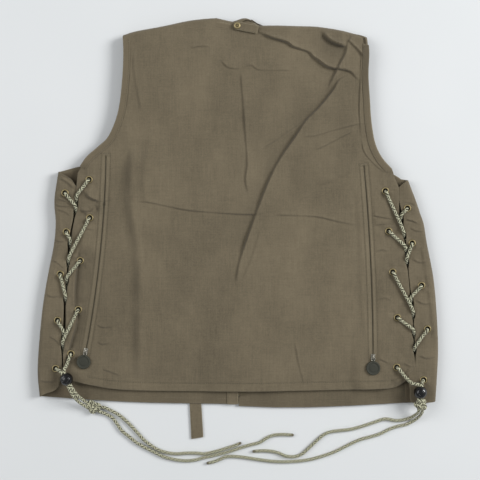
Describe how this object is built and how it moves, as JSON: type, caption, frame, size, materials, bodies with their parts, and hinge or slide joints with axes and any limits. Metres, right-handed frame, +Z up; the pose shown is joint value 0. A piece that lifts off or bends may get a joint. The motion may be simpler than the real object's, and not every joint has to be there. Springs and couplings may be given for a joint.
{
  "type": "fishing vest",
  "caption": "Sleeveless fishing vest laid flat on its front, back up, with laced side slits, cord locks, vertical rear pocket zips and a snap tab at the nape.",
  "frame": {"origin": "bottom centre of the vest as it lies on its front, measured without the free cord tails and knots", "axes": "+X across the vest to the right of the pictured view, +Y from hem to nape, +Z up from the surface that it lies on"},
  "size_m": [0.6, 0.6708, 0.036],
  "materials": {
    "cloth": "matte brown-olive cotton twill, plain fine weave, lockstitched hems",
    "lining": "matte darker lining cloth",
    "binding": "folded bias tape in the cloth's colour",
    "zip_tape": "woven zip tape",
    "zip_coil": "moulded nylon coil",
    "slider": "plated die-cast slider, lightly worn",
    "pull_disc": "soft moulded rubber disc, dark green-black",
    "eyelet": "antiqued brass with rubbed light rims",
    "cord": "braided cream and olive fleck cord, heat-sealed ends",
    "cord_lock": "glossy black moulded plastic",
    "spring": "steel wire",
    "snap": "antiqued brass snap with a worn rim"
  },
  "bodies": {
    "root": {"back_outer": "cloth", "back_lining": "lining", "left_front": "cloth", "right_front": "cloth", "front_placket": "cloth", "left_armhole_binding": "binding", "right_armhole_binding": "binding", "neck_binding": "binding", "left_chest_pocket": "cloth", "right_chest_pocket": "cloth", "left_lower_pocket": "cloth", "right_lower_pocket": "cloth", "left_pocket_flap": "cloth", "right_pocket_flap": "cloth", "left_zip_tape": "zip_tape", "left_zip_coil": "zip_coil", "right_zip_tape": "zip_tape", "right_zip_coil": "zip_coil", "front_zip_tape": "zip_tape", "front_zip_coil": "zip_coil", "left_back_eyelets": "eyelet", "left_front_eyelets": "eyelet", "right_back_eyelets": "eyelet", "right_front_eyelets": "eyelet", "left_lacing": "cord", "right_lacing": "cord", "right_lock_body": "cord_lock", "right_lock_spring": "spring", "left_knot": "cord", "right_knot": "cord", "left_tail_a": "cord", "left_tail_b": "cord", "right_tail_a": "cord", "right_tail_b": "cord", "nape_snap_stud": "snap"},
    "left_slider": {"left_zip_slider": "slider"},
    "left_pull": {"left_pull_link": "slider", "left_pull_disc": "pull_disc"},
    "right_slider": {"right_zip_slider": "slider"},
    "right_pull": {"right_pull_link": "slider", "right_pull_disc": "pull_disc"},
    "front_slider": {"front_zip_slider": "slider"},
    "front_pull": {"front_zip_pull": "slider"},
    "left_lock": {"left_lock_body": "cord_lock", "left_lock_spring": "spring"},
    "left_plunger": {"left_lock_plunger": "cord_lock"},
    "right_plunger": {"right_lock_plunger": "cord_lock"},
    "nape_tab": {"nape_tab": "cloth", "nape_snap_cap": "snap"},
    "hem_tab": {"hem_tab": "cloth"}
  },
  "joints": [
    {"name": "left_zip_travel", "type": "hinge", "parent": "root", "child": "left_slider", "pos_m": [-1.94637, 0.14266, 0.0175], "axis": [0, 0, 1], "range_deg": [0, 9.2]},
    {"name": "left_pull_swing", "type": "hinge", "parent": "left_slider", "child": "left_pull", "pos_m": [-0.227, -0.182, 0.0175], "axis": [-0.9826, 0.1855, 0], "range_deg": [0, 150]},
    {"name": "right_zip_travel", "type": "hinge", "parent": "root", "child": "right_slider", "pos_m": [-3.12053, -0.2052, 0.0175], "axis": [0, 0, 1], "range_deg": [0, 4.7]},
    {"name": "right_pull_swing", "type": "hinge", "parent": "right_slider", "child": "right_pull", "pos_m": [0.2017, -0.191, 0.0175], "axis": [-1, -0.0043, 0], "range_deg": [0, 150]},
    {"name": "front_zip_travel", "type": "slide", "parent": "root", "child": "front_slider", "axis": [0, -1, 0], "range_m": [0, 0.365]},
    {"name": "front_pull_swing", "type": "hinge", "parent": "front_slider", "child": "front_pull", "pos_m": [0, 0.128, 0.001], "axis": [1, 0, 0], "range_deg": [0, 90]},
    {"name": "left_lock_slide", "type": "slide", "parent": "root", "child": "left_lock", "axis": [0.454, -0.891, 0], "range_m": [0, 0.012]},
    {"name": "left_lock_press", "type": "slide", "parent": "left_lock", "child": "left_plunger", "axis": [0, 0, -1], "range_m": [0, 0.0025], "stiffness_N_per_m": 400, "deforming": ["left_lock_spring"]},
    {"name": "right_lock_press", "type": "slide", "parent": "root", "child": "right_plunger", "axis": [0, 0, -1], "range_m": [0, 0.0025], "stiffness_N_per_m": 400, "deforming": ["right_lock_spring"]},
    {"name": "nape_tab_lift", "type": "hinge", "parent": "root", "child": "nape_tab", "pos_m": [0.03, 0.297, 0.0189], "axis": [0.19, 0.9818, 0], "range_deg": [0, 100]},
    {"name": "hem_tab_lift", "type": "hinge", "parent": "root", "child": "hem_tab", "pos_m": [-0.0635, -0.265, 0.0019], "axis": [-1, 0, 0], "range_deg": [0, 90]}
  ]
}
